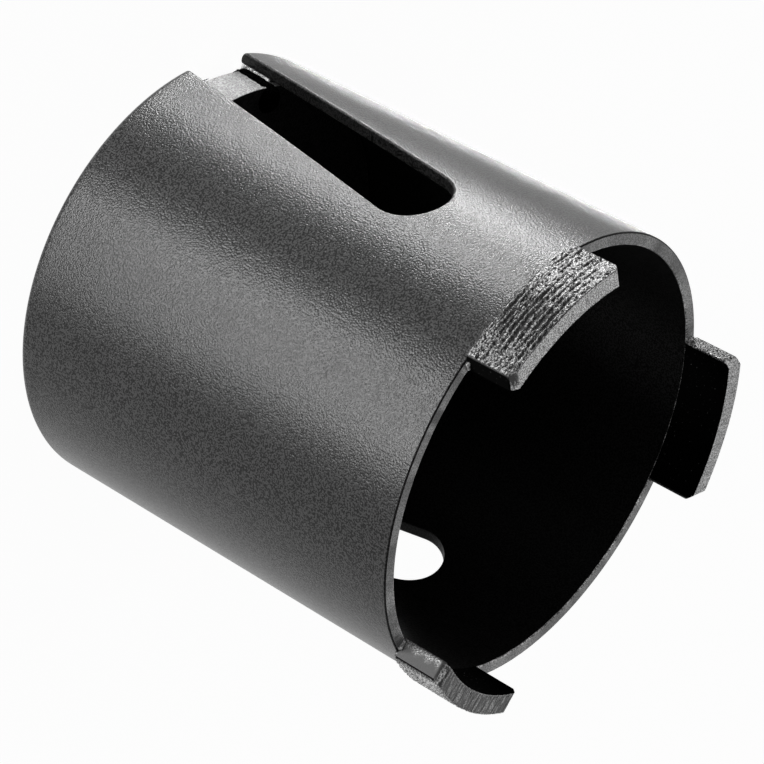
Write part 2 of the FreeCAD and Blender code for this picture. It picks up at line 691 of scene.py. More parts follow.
    def rim_shares(self, patch: np.ndarray) -> np.ndarray:
        """How far across the back rim each row of its patch lies, taken from a slot's wall."""
        run = run_along(self.wall_path(patch))
        return run / run[-1]

    def rim_patch(self, patch: np.ndarray) -> np.ndarray:
        """The back rim beside a slot, between the patch's outside and inside.

        Args:
            patch: One half of the sheet round the slot.

        Returns:
            Points, from the patch's border to the slot by from the outside to the inside.
        """
        shares = self.rim_shares(patch)
        outer = patch[0, :self.sheet_steps + 1]
        inner = patch[0, ::-1][:self.sheet_steps + 1]
        grid = outer[:, None] + (inner - outer)[:, None] * shares[None, :, None]
        grid[-1] = self.wall_path(patch)
        return grid

    def panel_angles(self) -> np.ndarray:
        """Angles across the plain panel between the two slots' patches.

        Returns:
            The angles, from the first slot's patch to the second's.
        """
        span = math.pi - 2 * self.patch_angle
        count = round(span * self.radius / self.column)
        return np.linspace(self.patch_angle, math.pi - self.patch_angle, count + 1)

    def ring_angles(self) -> np.ndarray:
        """Angles of the full rings above the slots.

        Returns:
            One whole turn, at the angles of the patches' and the panels' columns.
        """
        half = []
        for hand in (-1, 1):
            angles, heights = self.border(hand)
            top = angles[np.isclose(heights, self.patch_top)]
            half.append(top if hand < 0 else top[::-1][1:])
        one = np.concatenate(half + [self.panel_angles()[1:]])
        return np.concatenate([one, one[1:] + math.pi])

    def half_grids(self) -> list[tuple[np.ndarray, int | np.ndarray]]:
        """The grids of one half of the slotted length.

        Returns:
            Each grid and its finish.
        """
        grids, rims = [], {}
        for hand in (-1, 1):
            patch = self.slot_patch(hand)
            rims[hand] = self.rim_shares(patch)[:, None]
            grids += [(patch, self.patch_finish(patch)), (self.rim_patch(patch), TubeFace.OUTSIDE)]
        heights = np.unique(self.border(1)[1])[:, None]
        angles = self.panel_angles()
        shares = rims[1] + (rims[-1] - rims[1]) * np.linspace(0, 1, len(angles))
        back = np.zeros(1)
        rim = self.outside(back) + (self.inside(back) - self.outside(back)) * shares
        return grids + [
            (polar(self.outside(heights), angles, heights), TubeFace.OUTSIDE),
            (polar(self.inside(heights), angles, heights), TubeFace.BORE),
            (polar(rim, angles, 0.0), TubeFace.OUTSIDE),
        ]

    def mouth_line(self) -> np.ndarray:
        """The mouth rim's section, from the outside to the bore.

        Returns:
            Rows of radius and height.
        """
        reach = self.rim_break
        turns = np.linspace(0, QUARTER, self.break_steps + 1)
        out, up = reach * np.cos(turns), self.length - reach + reach * np.sin(turns)
        outer = np.stack([self.radius - reach + out, up], axis=-1)
        inner = np.stack([self.bore + reach - out, up], axis=-1)
        flat = np.linspace(self.radius - reach, self.bore + reach, self.mouth_steps + 1)[1:-1]
        middle = np.stack([flat, np.full(len(flat), self.length)], axis=-1)
        return np.vstack([outer, middle, inner[::-1]])

    def add_mouth(self, skin: Skin, angles: np.ndarray) -> None:
        """Adds the mouth: coated outer edge, bare rim, worn inner edge.

        Args:
            skin: The tube's skin.
            angles: The angles of its full rings.
        """
        line = self.mouth_line()
        finish = np.full(len(line) - 1, TubeFace.MOUTH)
        finish[:self.break_steps] = TubeFace.BORE
        finish[-self.break_steps:] = TubeFace.WORN_EDGE
        waves = noises(angles * self.radius / self.mouth_wear_size, 0.0, self.seed)
        wear = np.clip(self.mouth_wear + self.mouth_wear_spread * waves, 0, 1)
        skin.add(polar(line[:, :1], angles, line[:, 1:]), finish[:, None], wear)

    def build(self, finishes: Finishes) -> bpy.types.Object:
        """Sews the whole tube.

        Args:
            finishes: The part's finishes.

        Returns:
            The tube.
        """
        skin = Skin()
        for grid, finish in self.half_grids():
            skin.add(grid, finish)
            skin.add(grid * HALF_TURN, finish)
        angles = self.ring_angles()
        low, high = self.patch_top, self.length - self.rim_break
        levels = np.linspace(low, high, math.ceil((high - low) / self.row) + 1)[:, None]
        skin.add(polar(self.radius, angles, levels), TubeFace.OUTSIDE)
        skin.add(polar(self.bore, angles, levels), TubeFace.BORE)
        self.add_mouth(skin, angles)
        return skin.sew("barrel_tube", finishes.coat, finishes.bore, finishes.rim, finishes.edge)

    def dress(self, finishes: Finishes) -> None:
        """Builds the tube, coats it and stands it for its CAD node.

        Args:
            finishes: The part's finishes.
        """
        tube = self.build(finishes)
        even_normals(tube)
        ride_root(tube, Slot.BARREL, "barrel")


@dataclass
class BasePlate:
    """The turned plate with its threaded boss."""

    bore: float
    weld_gap: float = 0.25 * MM
    recess: float = 1.95 * MM
    thickness: float = 6.35 * MM
    edge_break: float = 0.3 * MM
    back_seam: float = 0.6
    front_seam: float = 0.7
    seam_round: float = 0.01 * MM
    boss_radius: float = 13.5 * MM
    boss_top: float = 17.95 * MM
    boss_root: float = 1.5 * MM
    boss_break: float = 0.9 * MM
    minor_radius: float = 6.917 * MM
    major_radius: float = 8.0 * MM
    lead_radius: float = 8.15 * MM
    pitch: float = 2.0 * MM
    thread_crest: float = 0.25
    thread_root: float = 0.875
    columns: int = 192
    corner_steps: int = 5
    rows_per_pitch: int = 16
    wear: float = 0.8
    wear_spread: float = 0.7
    wear_size: float = 1.5 * MM
    seed: float = 3.0

    def __post_init__(self) -> None:
        """Works out the rim's radius and the front face's height."""
        self.radius = self.bore - self.weld_gap
        self.front = self.recess + self.thickness

    def outline(self) -> np.ndarray:
        """The section from the back face's hole round the rim to the boss's top.

        Returns:
            Rows of radius and height.
        """
        corners = [
            (self.lead_radius, self.recess, 0),
            (self.radius * self.back_seam, self.recess, self.seam_round),
            (self.radius, self.recess, self.edge_break),
            (self.radius, self.recess + self.thickness / 2, self.seam_round),
            (self.radius, self.front, self.edge_break / 2),
            (self.radius * self.front_seam, self.front, self.seam_round),
            (self.boss_radius, self.front, self.boss_root),
            (self.boss_radius, self.boss_top, self.boss_break),
            (self.lead_radius, self.boss_top, 0),
        ]
        return soften(corners, self.corner_steps)

    def thread(self) -> np.ndarray:
        """The threaded bore, with a lead-in at each end.

        Returns:
            Points, rows by columns by three.
        """
        rows = round((self.boss_top - self.recess) / self.pitch * self.rows_per_pitch)
        heights = np.linspace(self.recess, self.boss_top, rows + 1)[:, None]
        angles = np.linspace(0, TURN, self.columns + 1)[None, :]
        phase = np.abs((heights / self.pitch - angles / TURN) % 1 - 0.5) * 2
        share = np.clip((phase - self.thread_crest) / (self.thread_root - self.thread_crest), 0, 1)
        radius = self.minor_radius + (self.major_radius - self.minor_radius) * share
        from_end = np.minimum(heights - self.recess, self.boss_top - heights)
        return polar(np.maximum(radius, self.lead_radius - from_end), angles, heights)

    def face_finish(self, line: np.ndarray) -> np.ndarray:
        """The finish of each run of the section.

        Args:
            line: The section.

        Returns:
            The place of each run's finish.
        """
        middle = (line[1:] + line[:-1]) / 2
        on_rim = middle[:, 0] > self.radius - self.edge_break
        in_front = middle[:, 1] > self.front - 0.1 * self.edge_break
        return np.where(in_front, PlateFace.FRONT, np.where(on_rim, PlateFace.RIM, PlateFace.BACK))

    def dress(self, finishes: Finishes) -> None:
        """Builds the plate, coats it and stands it for its CAD node.

        Args:
            finishes: The part's finishes.
        """
        skin = Skin()
        line = self.outline()
        angles = np.linspace(0, TURN, self.columns + 1)
        waves = noises(angles * self.radius / self.wear_size, line[:, 1:] / self.wear_size, self.seed)
        wear = np.clip(self.wear + self.wear_spread * waves, 0, 1)
        skin.add(polar(line[:, :1], angles, line[:, 1:]), self.face_finish(line)[:, None], wear)
        skin.add(self.thread(), PlateFace.BACK)
        plate = skin.sew("threaded_base_plate", finishes.coat, finishes.bore, finishes.weld)
        even_normals(plate)
        ride_root(plate, Slot.PLATE, "base_plate")


@dataclass
class WeldBead:
    """A bead along a path, with ripples and rounded ends."""

    name: str
    path: np.ndarray
    size: Numbers
    seed: float
    ripple: float
    ripple_length: float = 0.5 * MM
    sides: int = 12
    steep: float = 0.7
    wear: float = 0.7
    wear_spread: float = 0.9

    def cross_axes(self) -> tuple[np.ndarray, np.ndarray]:
        """The two directions square to the path at each of its points.

        Returns:
            The direction to the side, and the one square to it and to the path.
        """
        ahead = np.gradient(self.path, axis=0)
        ahead /= np.linalg.norm(ahead, axis=1, keepdims=True)
        climbs = abs(ahead[0, 2]) >= self.steep
        side = np.cross(ahead, np.array([1.0, 0.0, 0.0] if climbs else [0.0, 0.0, 1.0]))
        side /= np.linalg.norm(side, axis=1, keepdims=True)
        return side, np.cross(side, ahead)

    def build(self, finish: bpy.types.Material) -> bpy.types.Object:
        """Sweeps the bead along its path.

        Args:
            finish: The bead's material.

        Returns:
            The bead.
        """
        side, rise = self.cross_axes()
        run = run_along(self.path)
        size = np.broadcast_to(self.size, run.shape)
        to_end = np.minimum(run, run[-1] - run)
        near_end = 1 - np.clip(to_end / size, 0, 1)
        taper = np.sqrt(np.clip(1 - near_end ** 2, 0, 1))
        waves, rings = [], []
        for turn in np.linspace(0, TURN, self.sides + 1):
            wave = noises(run / self.ripple_length, math.cos(turn) + self.seed, math.sin(turn))
            out = side * math.cos(turn) + rise * math.sin(turn)
            rings.append(self.path + out * (size * taper * (1 + self.ripple * wave))[:, None])
            waves.append(wave)
        wear = np.clip(self.wear + self.wear_spread * np.stack(waves, axis=1), 0, 1)
        skin = Skin()
        skin.add(np.stack(rings, axis=1), wear=wear)
        return skin.sew(self.name, finish)


@dataclass
class PlateWelds:
    """The beads that hold the base plate in the barrel, and the band of painted shade beside them."""

    barrel: Barrel
    plate: BasePlate
    ring_size: float = 0.75 * MM
    ring_inset: float = 0.01
    strip_size: float = 0.4 * MM
    strip_overlap: float = 0.4
    strip_start: float = 0.5 * MM
    strip_end: float = 6.9 * MM
    toe_rise: float = 1.35 * MM
    toe_run: float = 3.0 * MM
    toe_least: float = 0.06 * MM
    shade_band_size: float = 2.2 * MM
    shade_band_depth: float = 1.9 * MM
    shade_band_end: float = 9.8 * MM
    shade_band_sides: int = 48
    step: float = 0.2 * MM

    def wall_angle(self, hand: int, height: Numbers) -> Numbers:
        """The angle of a slot's wall at the bore, at each height."""
        return np.arcsin(self.barrel.slot.straight_side(hand, 0, height) / self.barrel.bore)

    def ring(self, turn: float) -> WeldBead:
        """The bead behind the plate, from one slot round to the other.

        Args:
            turn: 0 for the first half of the plate, half a turn for the second.

        Returns:
            The bead.
        """
        recess, radius = self.plate.recess, self.plate.radius
        start = self.wall_angle(1, recess) + self.ring_inset
        end = self.wall_angle(-1, recess) + math.pi - self.ring_inset
        angles = np.linspace(start, end, round((end - start) * radius / self.step)) + turn
        return WeldBead("plate_ring_weld", polar(radius, angles, recess), self.ring_size,
                        seed=turn, ripple=0.12)

    def shade_band(self, turn: float) -> WeldBead:
        """The near-black band beside the strip bead at a slot's smaller angle, a sheet of painted shade on
        the plate's rim.

        Args:
            turn: 0 for the first half of the plate, half a turn for the second.

        Returns:
            The band.
        """
        levels = np.arange(self.strip_start, self.shade_band_end, self.step)
        angles = self.wall_angle(-1, levels) + turn
        angles += (self.strip_size + self.shade_band_size / 2) / self.plate.radius
        # The band of painted shade lies on the plate's rim beside the strip bead.
        path = polar(self.plate.radius - self.shade_band_depth, angles, levels)
        return WeldBead("plate_slag_line", path, self.shade_band_size, seed=turn, ripple=0.05,
                        sides=self.shade_band_sides)

    def strip(self, hand: int, turn: float) -> WeldBead:
        """The thin bead between the plate's rim and a slot's wall.

        Args:
            hand: +1 for the side at larger angles, -1 for the other.
            turn: 0 for the first half of the plate, half a turn for the second.

        Returns:
            The bead.
        """
        levels = np.arange(self.strip_start, self.strip_end, self.step)
        angles = self.wall_angle(hand, levels) + turn
        angles -= hand * self.strip_size * self.strip_overlap / self.plate.radius
        path = polar(self.plate.radius, angles, levels)
        return WeldBead("plate_strip_weld", path, self.strip_size, seed=turn + hand, ripple=0.1)

    def toe(self, hand: int, turn: float) -> WeldBead:
        """The ring bead's end, which runs out along the plate's back edge within a slot.

        Args:
            hand: +1 for the side at larger angles, -1 for the other.
            turn: 0 for the first half of the plate, half a turn for the second.

        Returns:
            The bead.
        """
        recess, bore = self.plate.recess, self.barrel.bore
        share = np.linspace(0, 1, round(self.toe_run / self.step))
        size = self.toe_rise / 2 * (1 - share) ** 2 + self.toe_least
        angles = self.wall_angle(hand, recess) - hand * share * self.toe_run / bore + turn
        path = polar(bore - size, angles, recess + self.toe_least - size)
        return WeldBead("plate_toe_weld", path, size, seed=turn + 2 * hand, ripple=0.08)

    def dress(self, finishes: Finishes) -> None:
        """Builds all the beads on both halves of the plate.

        Args:
            finishes: The part's finishes.
        """
        for turn, half in ((0.0, "1"), (math.pi, "2")):
            beads = [(self.ring(turn), half, finishes.weld), (self.shade_band(turn), half, finishes.shade_band)]
            for hand, side in ((1, "far"), (-1, "near")):
                for bead in (self.strip(hand, turn), self.toe(hand, turn)):
                    beads.append((bead, f"{side}_{half}", finishes.bead))
            for bead, ending, metal in beads:
                bead.name = f"{bead.name}_{ending}"
                ride_root(bead.build(metal), Slot.PLATE)


@dataclass(frozen=True)
class BrokenGrooves:
    """Rows of grooves that waver, fray and break off, and are broader and longer in soot."""

    breadth: float = 0.22
    soot_breadth: float = 0.22
    least_breadth: float = 0.12
    presence: float = 0.5
    soot_presence: float = 0.55
    flank: float = 1.15
    hollow: float = 0.5
    waver: Waves = Waves(0.34, 1.3, 3.1, 4.1)
    long_gaps: Waves = Waves(1.7, 0.35, 5.3, 1.7)
    short_gaps: Waves = Waves(0.8, 1.9, 7.7, 2.9)
    fray: Waves = Waves(0.30, 3.4, 4.0, 3.3)

    def depth(self, across: np.ndarray, up: np.ndarray, soot: np.ndarray, shift: float) -> np.ndarray:
        """How deep the grooves are at each place.

        Args:
            across: Distance across the segment in millimetres.
            up: Height above the foot in rows.
            soot: How sooty each place is.
            shift: How far the noise is moved.

        Returns:
            Depths from 0 to 1.
        """
        row = np.round(up)
        breadth = self.breadth + self.soot_breadth * soot + self.waver.at(across, row, (0, shift))
        present = self.presence + self.soot_presence * soot
        present = present + self.long_gaps.at(across, row, (shift, 0))
        present = np.clip(present + self.short_gaps.at(across, row, (0, shift)), 0, 1)
        from_middle = np.abs(up - row) * 2 + self.fray.at(across, up, (0, shift))
        share = from_middle / np.maximum(breadth, self.least_breadth)
        return np.clip(self.flank - share, 0, 1) ** self.hollow * present


@dataclass(frozen=True)
class SinterRelief:
    """The outer face's relief: drifting rows of grooves, finer ones between them, chips and grit."""

    row_pitch: float = 0.8 * MM
    grooves: BrokenGrooves = BrokenGrooves()
    drift: Waves = Waves(0.20, 0.2, 0.4, 0.3)
    fine_drift: Waves = Waves(0.07, 1.4, 0.8, 5.5)
    fine_share: float = 0.7
    fine_least: float = 0.3
    fine_shift: float = 9.1
    lumps: Waves = Waves(1.0, 2.2, 3.6, 9.0)
    chip_level: float = 0.26
    chip_soot: float = 0.22
    chip_steepness: float = 2.0
    grit: Waves = Waves(0.24, 5.0, 6.5, 2.0)
    everywhere: float = 0.04

    def depth(self, across: np.ndarray, up: np.ndarray, soot: np.ndarray, shift: float) -> np.ndarray:
        """How deep the face lies below its crests at each place.

        Args:
            across: Distance across the segment in millimetres.
            up: Height above the foot in millimetres.
            soot: How sooty each place is.
            shift: How far the noise is moved.

        Returns:
            Depths from 0 to 1.
        """
        drift = self.drift.at(across, up, (shift, 0)) + self.fine_drift.at(across, up, (shift, 0))
        rows = (up + drift) / (self.row_pitch / MM)
        main = self.grooves.depth(across, rows, soot, shift)
        fine = self.grooves.depth(across, rows * 2 + 0.5, soot, shift + self.fine_shift)
        fine = fine * np.clip(self.fine_least + soot, 0, 1)
        lumps = self.lumps.at(across, up, (shift, 0))
        chips = np.clip(lumps - self.chip_level + self.chip_soot * soot, 0, 1) * self.chip_steepness
        grit = self.grit.at(across, up, (0, shift))
        return np.clip(main + self.fine_share * fine + chips + grit + self.everywhere, 0, 1)


@dataclass(frozen=True)
class GroundFace:
    """The scratches and pits in a cutting face."""

    scratch_depth: float = 0.05 * MM
    pit_depth: float = 0.08 * MM
    lines: Waves = Waves(1.0, 2.4, 0.25, 9.0)
    fine_lines: Waves = Waves(0.7, 6.0, 0.5, 4.0)
    scratch_contrast: float = 0.7
    scratch_level: float = 0.3
    pits: Waves = Waves(1.0, 2.2, 2.2, 2.0)
    pit_level: float = 0.45
    pit_steepness: float = 3.0
    bevel_reach: float = 1.3
    bevel_fade: float = 0.5
    bevel_soot: float = 1.6
    bevel_soot_run: float = 2.6
    inner_edge_start: float = 4.5
    inner_edge_fade: float = 0.3
    inner_edge_tone: float = 0.8
    inner_edge_streaks: float = 0.6

    def marks(self, across: np.ndarray, depth: np.ndarray, number: int) -> tuple[np.ndarray, ...]:
        """The face's marks at each place.

        Args:
            across: Distance across the segment in millimetres.
            depth: Distance from the outer edge in millimetres.
            number: The segment's number, which chooses its noise.

        Returns:
            The lines' noise, and the scratches and pits from 0 up.
        """
        lines = self.lines.at(across, depth, copy=number) + self.fine_lines.at(across, depth, copy=number)
        scratch = np.clip(lines * self.scratch_contrast + self.scratch_level, 0, 1)
        pits = np.clip(self.pits.at(across, depth, copy=number) - self.pit_level, 0, 1)
        return lines, scratch, pits * self.pit_steepness


@dataclass(frozen=True)
class EndGrit:
    """The bare grit on a segment's ends, and the specks in the soot beside it."""

    fineness: float = 5.0
    side_fineness: float = 3.0
    seed: float = 12.0
    ragged: Waves = Waves(0.5, 0.9, 1.0, 6.0)
    band_width: float = 1.5
    band_strength: float = 0.8
    level: float = 0.5
    contrast: float = 2.6
    speck_contrast: float = 4.0
    speck_level: float = 2.2
    speck_tone: float = 0.3

    def grain(self, side: np.ndarray, depth: np.ndarray, level: np.ndarray, number: int) -> np.ndarray:
        """The grit's noise at each place, in millimetres across, from the tool axis and up."""
        return noises(depth * self.fineness + side * self.side_fineness, level * self.fineness,
                      self.seed + number)

    def gritty(self, grain: np.ndarray, band: np.ndarray) -> np.ndarray:
        """How bare the grit is, where a band of it shows."""
        return np.clip(band, 0, 1) * np.clip(self.level + self.contrast * grain, 0, 1)

    def specks(self, grain: np.ndarray) -> np.ndarray:
        """How bare the specks are."""
        return np.clip(grain * self.speck_contrast - self.speck_level, 0, 1) * self.speck_tone


@dataclass(frozen=True)
class SegmentState:
    """What use and soot have done to one segment, and the shade painted on it."""

    soot_middle: float = -3.5
    soot_spread: float = 4.5
    groove_shade: float = 2.1
    face_tone: float = 0.9
    face_streaks: float = 0.4
    gritty_end: bool = False
    # Paints a shadow along the foot of the outer face.
    painted_foot_shadow: bool = False
    worn_bevel: bool = False
    polished: bool = False

    def soot(self, across: np.ndarray) -> np.ndarray:
        """How sooty the outer face is at each distance across it, in millimetres."""
        return np.exp(-((across - self.soot_middle) / self.soot_spread) ** 2)


SEGMENT_STATES = (
    SegmentState(gritty_end=True),
    SegmentState(soot_middle=3.5, face_tone=1.0, face_streaks=0.3, painted_foot_shadow=True, worn_bevel=True),
    SegmentState(groove_shade=1.0, face_tone=0.65, face_streaks=1.5, polished=True),
)


@dataclass
class Segment:
    """One sintered diamond segment, built at angle zero and turned into place."""

    number: int
    state: SegmentState
    angle: float
    foot: float
    inner: float
    outer: float
    height: float = 7.45 * MM
    width: float = 22.3 * MM
    corner: float = 0.42 * MM
    least_corner: float = 0.1 * MM
    top_round: float = 0.16 * MM
    bevel: float = 0.95 * MM
    across_steps: int = 210
    corner_steps: int = 5
    end_steps: int = 14
    up_steps: int = 80
    round_steps: int = 4
    groove_depth: float = 0.42 * MM
    edge_fade: float = 0.3 * MM
    foot_shadow_fade: float = 0.35 * MM
    noise_stride: float = 31.7
    face_depth: float = 4.8
    sinter: SinterRelief = SinterRelief()
    ground: GroundFace = GroundFace()
    grit: EndGrit = EndGrit()
    facing_power: int = 3
    corner_share: float = 0.7
    edge_least: float = 0.25
    foot_shadow_least: float = 0.1
    crest_tone: float = 1.1
    crest_spread: float = 3.0
    end_soot: float = 0.2

    def __post_init__(self) -> None:
        """Works out the middle of the wall."""
        self.middle = (self.outer + self.inner) / 2

    def plan(self, hand: int, inset: float) -> np.ndarray:
        """Half of the outline seen from the mouth.

        Args:
            hand: +1 for the outer half, -1 for the inner.
            inset: How far the outline is drawn in.

        Returns:
            Rows of side and radius, from one end's middle to the other's.
        """
        half = self.width / 2 - inset
        deep = (self.outer - self.inner) / 2 - inset
        corner = max(self.corner - inset, self.least_corner)
        end = np.linspace(0, deep - corner, self.end_steps + 1)
        turns = steps(0, QUARTER, self.corner_steps)
        side = np.concatenate([np.full(len(end), -half), -half + corner * (1 - np.cos(turns))])
        rise = np.concatenate([end, deep - corner + corner * np.sin(turns)])
        flat = np.linspace(-half + corner, half - corner, self.across_steps + 1)[1:-1]
        sides = np.concatenate([side, flat, -side[::-1]])
        rises = np.concatenate([rise, np.full(len(flat), deep), rise[::-1]])
        return np.stack([sides, self.middle + hand * rises], axis=-1)

    def place(self, side: np.ndarray, radius: np.ndarray, height: np.ndarray) -> np.ndarray:
        """Points in the part's frame, with the end bevels put on.

        Args:
            side: Distance across the segment.
            radius: Distance from the tool axis.
            height: Height above the foot.

        Returns:
            The points.
        """
        limit = self.height - np.clip(np.abs(side) - (self.width / 2 - self.bevel), 0, self.bevel)
        across = np.sqrt(radius ** 2 - side ** 2)
        turn_cos, turn_sin = math.cos(self.angle), math.sin(self.angle)
        return np.stack([
            across * turn_cos - side * turn_sin,
            across * turn_sin + side * turn_cos,
            self.foot + height * limit / self.height,
        ], axis=-1)

    def relief(self, side: np.ndarray, level: np.ndarray) -> np.ndarray:
        """How deep the outer face lies below its crests, 0 to 1, at each place in metres."""
        across = side / MM
        return self.sinter.depth(across, level / MM, self.state.soot(across), self.number * self.noise_stride)

    def profile(self) -> list[tuple[float, float]]:
        """The rows of the walls, from the foot over the rounded top edge.

        Returns:
            Pairs of inset and level.
        """
        straight = np.linspace(0, self.height - self.top_round, self.up_steps + 1)
        rows = [(0.0, level) for level in straight]
        for turn in steps(0, QUARTER, self.round_steps):
            inset = self.top_round * (1 - math.cos(turn))
            rows.append((inset, self.height - self.top_round * (1 - math.sin(turn))))
        return rows

    def carve(self, side: np.ndarray, radius: np.ndarray, level: np.ndarray,
              bare: np.ndarray) -> tuple[np.ndarray, np.ndarray]:
        """Cuts the relief into the outer face, bares its crests and paints its grooves darker by their depth,
        as painted shade.

        Args:
            side: Distance across the segment.
            radius: Distance from the tool axis.
            level: Height above the foot.
            bare: How bare the metal is before.

        Returns:
            The new radii, and how bare the metal is at each, with the grooves' painted shade in it.
        """
        facing = np.clip((radius - self.middle) / (self.outer - self.middle), 0, 1) ** self.facing_power
        from_corner = self.width / 2 - np.abs(side)
        facing = facing * np.clip(from_corner / (self.corner_share * self.corner), 0, 1)
        edge = np.clip((self.height - level) / self.edge_fade, self.edge_least, 1)
        cut = self.relief(side, level)
        # Painted shade: the deeper the groove, the darker its colour.
        crest = np.clip(self.crest_tone - self.state.groove_shade * cut, 0, 1)
        # Painted shadow: the foot rows of the outer face's half at larger angles are darker towards the
        # barrel.
        if self.state.painted_foot_shadow:
            foot = np.clip(level / self.foot_shadow_fade, self.foot_shadow_least, 1)
            crest = crest * np.where(side > 0, foot, 1.0)
        bare = bare + (crest - bare) * np.clip(facing * self.crest_spread, 0, 1)
        from_end = np.clip((side + self.width / 2) / self.edge_fade - self.end_soot, 0, 1)
        bare = bare * np.where(facing > 0.5, from_end, 1.0)
        return radius - self.groove_depth * cut * facing * edge, bare

    def wall(self, hand: int) -> tuple[np.ndarray, np.ndarray]:
        """The outer or inner wall, from the foot to the rounded top edge.

        Args:
            hand: +1 for the outer wall, -1 for the inner.

        Returns:
            The points, and how bare the metal is at each.
        """
        rows = self.profile()
        plans = np.stack([self.plan(hand, inset) for inset, _ in rows])
        side, radius = plans[..., 0], plans[..., 1]
        level = np.broadcast_to(np.array([level for _, level in rows])[:, None], side.shape)
        bare = self.end_wear(side, radius, level)
        if hand > 0:
            radius, bare = self.carve(side, radius, level, bare)
        return self.place(side, radius, level), bare

    def end_wear(self, side: np.ndarray, radius: np.ndarray, level: np.ndarray) -> np.ndarray:
        """How bare the ends and the inner wall are: grit along the ends' inner edges, specks elsewhere.

        Args:
            side: Distance across the segment.
            radius: Distance from the tool axis.
            level: Height above the foot.

        Returns:
            Shares from 0 to 1.
        """
        grit = self.grit
        grain = grit.grain(side / MM, radius / MM, level / MM, self.number)
        ragged = grit.ragged.at(level / MM, 0.0)
        band = np.clip(grit.band_width - (radius - self.inner) / MM + ragged, 0, 1) * (side < 0)
        whole_end = self.state.gritty_end * (side > 0)
        gritty = grit.gritty(grain, grit.band_strength * band + whole_end)
        specks = grit.specks(grain)
        under_edge = np.clip((self.height - self.top_round - level) / self.edge_fade, 0, 1)
        if self.state.gritty_end:
            under_edge = 1.0
        on_end = np.abs(side) > self.width / 2 - self.corner
        return np.where(on_end, np.maximum(gritty, specks) * under_edge, specks)

    def cap(self, outer: np.ndarray, inner: np.ndarray) -> np.ndarray:
        """The face between the end rows of the outer and the inner wall.

        Args:
            outer: The outer wall's row.
            inner: The inner wall's row.

        Returns:
            The face's points.
        """
        keep = slice(self.end_steps, -self.end_steps)
        share = np.linspace(0, 1, 2 * self.end_steps + 1)[:, None, None]
        face = outer[None, keep] + (inner - outer)[None, keep] * share
        near, far = outer[:self.end_steps + 1], outer[-self.end_steps - 1:]
        near_in, far_in = inner[1:self.end_steps + 1], inner[-self.end_steps - 1:-1]
        face[:, 0] = np.concatenate([near[::-1], near_in])
        face[:, -1] = np.concatenate([far, far_in[::-1]])
        return face

    def cutting_face(self, outer: np.ndarray, inner: np.ndarray) -> tuple[np.ndarray, np.ndarray]:
        """The cutting face, with its scratches and pits.

        Args:
            outer: The outer wall's top row.
            inner: The inner wall's top row.

        Returns:
            The face's points, and how bare the metal is at each.
        """
        face = self.cap(outer, inner)
        across = np.linspace(-1, 1, face.shape[1]) * self.width / 2 / MM
        depth = np.linspace(0, self.face_depth, face.shape[0])[:, None]
        ground = self.ground
        lines, scratch, pits = ground.marks(across, depth, self.number)
        sink = ground.scratch_depth * scratch + ground.pit_depth * pits
        face[1:-1, 1:-1, 2] -= sink[1:-1, 1:-1]
        bare = self.state.face_tone - self.state.face_streaks * scratch - pits
        if self.state.worn_bevel:
            from_bevel = across - self.width / 2 / MM + ground.bevel_reach * self.bevel / MM
            soot = np.clip(ground.bevel_soot - depth / ground.bevel_soot_run + lines, 0, 1)
            bare = bare - np.clip(from_bevel / ground.bevel_fade, 0, 1) * soot
        inner_edge = np.clip((depth - ground.inner_edge_start) / ground.inner_edge_fade, 0, 1)
        inner_edge = inner_edge * (ground.inner_edge_tone + ground.inner_edge_streaks * lines)
        return face, np.clip(np.maximum(bare, inner_edge), 0, 1)

    def outer_finish(self, columns: int) -> np.ndarray:
        """The finish of each column of the outer wall's quads: smooth end, dark corner, ribs, dark end.

        Args:
            columns: How many columns there are.

        Returns:
            The place of each column's finish.
        """
        column = np.arange(columns)
        finish = np.full(columns, SegmentFace.OUTER)
        finish[column < self.end_steps] = SegmentFace.SMOOTH_END
        finish[column >= columns - self.end_steps] = SegmentFace.DARK_END
        corner_end = self.end_steps + self.corner_steps // 2 + 1
        finish[(column >= self.end_steps - 1) & (column < corner_end)] = SegmentFace.DARK_END
        return finish

    def inner_finish(self, columns: int) -> np.ndarray:
        """The finish of each column of the inner wall's quads."""
        on_end = np.arange(columns) < self.end_steps + self.corner_steps
        return np.where(on_end, SegmentFace.SMOOTH_END, SegmentFace.DARK_END)

    def dress(self, finishes: Finishes) -> None:
        """Builds the segment and stands it for its CAD node.

        Args:
            finishes: The part's finishes.
        """
        outer, outer_bare = self.wall(1)
        inner, inner_bare = self.wall(-1)
        outer[:, [0, -1]] = inner[:, [0, -1]]
        columns = outer.shape[1] - 1
        skin = Skin()
        skin.add(outer, self.outer_finish(columns), outer_bare)
        skin.add(inner, self.inner_finish(columns), inner_bare)
        face, face_bare = self.cutting_face(outer[-1], inner[-1])
        skin.add(face, SegmentFace.CUTTING, face_bare)
        skin.add(self.cap(outer[0], inner[0]), SegmentFace.DARK_END)
        outer_metal = finishes.edge if self.state.polished else finishes.ribs
        made = skin.sew(f"diamond_segment_{self.number}", outer_metal, finishes.ground,
                        finishes.smooth_end, finishes.dark_end)
        ride_root(made, Slot.SEGMENT, f"segment_{self.number}")


